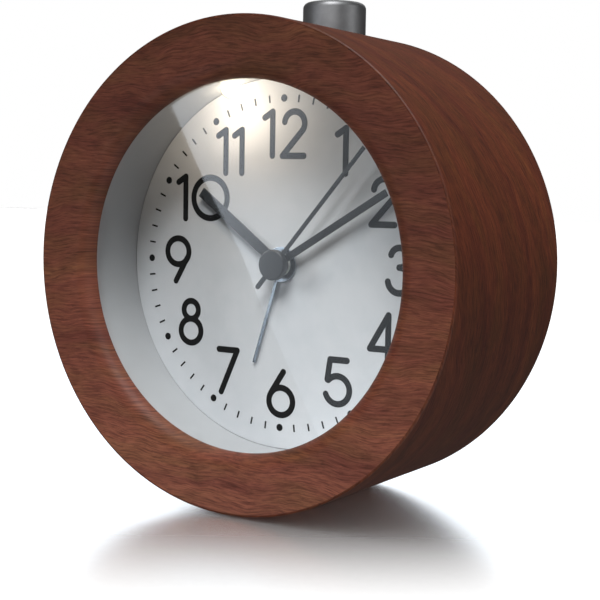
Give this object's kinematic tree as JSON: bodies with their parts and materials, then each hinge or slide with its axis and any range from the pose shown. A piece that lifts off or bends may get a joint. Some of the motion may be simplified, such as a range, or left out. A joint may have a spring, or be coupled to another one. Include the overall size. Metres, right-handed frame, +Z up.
{
  "type": "analog alarm clock",
  "caption": "Round desk alarm clock with a reddish wooden drum, a deep white dial, black hands, a silver alarm hand and a metal snooze button on top.",
  "frame": {"origin": "on the table, under the middle of the clock's box", "axes": "+Z up, the dial faces -Y, +X to the right of the dial as it is read"},
  "size_m": [0.111, 0.054, 0.1189],
  "materials": {
    "reddish_wood": "satin",
    "dark_rubber": "matte",
    "clear_glass": "polished",
    "white_plastic": "matte",
    "dial_white": "matte",
    "lamp_resin": "gloss",
    "black_lacquer": "satin",
    "silver_hand": "satin",
    "movement_plastic": "matte",
    "screw_steel": "satin",
    "soft_iron": "satin",
    "copper_wire": "gloss",
    "magnet_grey": "matte",
    "wheel_nylon": "matte",
    "brass_tube": "satin",
    "black_plastic": "matte",
    "board_green": "satin",
    "cell_wrap": "gloss",
    "spring_steel": "polished",
    "grey_plastic": "matte",
    "satin_metal": "satin"
  },
  "bodies": {
    "case": {"wood_case": "reddish_wood", "foot_strips": "dark_rubber", "front_lens": "clear_glass", "dial_cup": "white_plastic", "dial_plate": "dial_white", "dial_lamp": "lamp_resin", "front_plate": "movement_plastic", "rear_plate": "movement_plastic", "movement_screws": "screw_steel", "stator": "soft_iron", "drive_coil": "copper_wire", "circuit_board": "board_green", "quartz_crystal": "screw_steel", "buzzer": "black_plastic", "back_cover": "black_plastic", "cover_screws": "screw_steel", "battery_cell": "cell_wrap", "battery_plus": "spring_steel", "battery_spring": "spring_steel", "switch_housing": "black_plastic", "button_bush": "movement_plastic", "button_spring": "spring_steel", "snooze_switch": "black_plastic"},
    "minute_tube": {"cannon_pinion": "brass_tube", "minute_hand": "black_lacquer"},
    "motion_arbor": {"motion_wheel": "wheel_nylon"},
    "hour_tube": {"hour_wheel": "wheel_nylon", "hour_hand": "black_lacquer"},
    "time_setter": {"time_stem": "wheel_nylon", "time_knob": "black_plastic"},
    "second_arbor": {"second_wheel": "wheel_nylon", "second_hand": "black_lacquer"},
    "third_arbor": {"third_wheel": "wheel_nylon"},
    "centre_arbor": {"centre_wheel": "wheel_nylon"},
    "fifth_arbor": {"fifth_wheel": "wheel_nylon"},
    "rotor_arbor": {"rotor": "magnet_grey"},
    "alarm_tube": {"alarm_wheel": "wheel_nylon", "alarm_hand": "silver_hand"},
    "alarm_setter": {"alarm_stem": "wheel_nylon", "alarm_knob": "black_plastic"},
    "button": {"snooze_button": "satin_metal", "button_clip": "spring_steel"},
    "slider": {"alarm_switch": "grey_plastic"},
    "bay_lid": {"battery_door": "black_plastic"}
  },
  "joints": [
    {"name": "minute_spin", "type": "hinge", "parent": "case", "child": "minute_tube", "pos_m": [0, -0.003, 0.0559], "axis": [0, 1, 0], "continuous": true},
    {"name": "motion_spin", "type": "hinge", "parent": "case", "child": "motion_arbor", "pos_m": [0.00818, 0.001, 0.05087], "axis": [0, 1, 0], "continuous": true},
    {"name": "hour_spin", "type": "hinge", "parent": "case", "child": "hour_tube", "pos_m": [0, -0.003, 0.0559], "axis": [0, 1, 0], "continuous": true},
    {"name": "time_knob_turn", "type": "hinge", "parent": "case", "child": "time_setter", "pos_m": [0.01275, 0.023, 0.05932], "axis": [0, 1, 0], "continuous": true},
    {"name": "second_spin", "type": "hinge", "parent": "case", "child": "second_arbor", "pos_m": [0, -0.003, 0.0559], "axis": [0, 1, 0], "continuous": true},
    {"name": "third_spin", "type": "hinge", "parent": "case", "child": "third_arbor", "pos_m": [0, 0.004, 0.0685], "axis": [0, 1, 0], "continuous": true},
    {"name": "centre_spin", "type": "hinge", "parent": "case", "child": "centre_arbor", "pos_m": [0, 0.0035, 0.0559], "axis": [0, 1, 0], "continuous": true},
    {"name": "fifth_spin", "type": "hinge", "parent": "case", "child": "fifth_arbor", "pos_m": [-0.00743, 0.007, 0.04847], "axis": [0, 1, 0], "continuous": true},
    {"name": "rotor_spin", "type": "hinge", "parent": "case", "child": "rotor_arbor", "pos_m": [-0.01792, 0.004, 0.04847], "axis": [0, 1, 0], "continuous": true},
    {"name": "alarm_spin", "type": "hinge", "parent": "case", "child": "alarm_tube", "pos_m": [0, -0.003, 0.0559], "axis": [0, 1, 0], "continuous": true},
    {"name": "alarm_knob_turn", "type": "hinge", "parent": "case", "child": "alarm_setter", "pos_m": [-0.01275, 0.023, 0.05932], "axis": [0, 1, 0], "continuous": true},
    {"name": "snooze_press", "type": "slide", "parent": "case", "child": "button", "axis": [0, 0, -1], "range_m": [0, 0.002], "stiffness_N_per_m": 400, "springref_m": -0.002, "deforming": ["button_spring"]},
    {"name": "alarm_switch_slide", "type": "slide", "parent": "case", "child": "slider", "axis": [1, 0, 0], "range_m": [0, 0.004]},
    {"name": "battery_lid_lift", "type": "slide", "parent": "case", "child": "bay_lid", "axis": [0, 1, 0], "range_m": [0, 0.02]}
  ],
  "couplings": [
    {"joint": "motion_spin", "follows": "minute_spin", "ratio": -0.33333},
    {"joint": "hour_spin", "follows": "minute_spin", "ratio": 0.083333},
    {"joint": "time_knob_turn", "follows": "minute_spin", "ratio": 1},
    {"joint": "third_spin", "follows": "second_spin", "ratio": -0.13333},
    {"joint": "centre_spin", "follows": "second_spin", "ratio": 0.016667},
    {"joint": "fifth_spin", "follows": "second_spin", "ratio": -5},
    {"joint": "rotor_spin", "follows": "second_spin", "ratio": 30},
    {"joint": "alarm_knob_turn", "follows": "alarm_spin", "ratio": -1.5385}
  ]
}
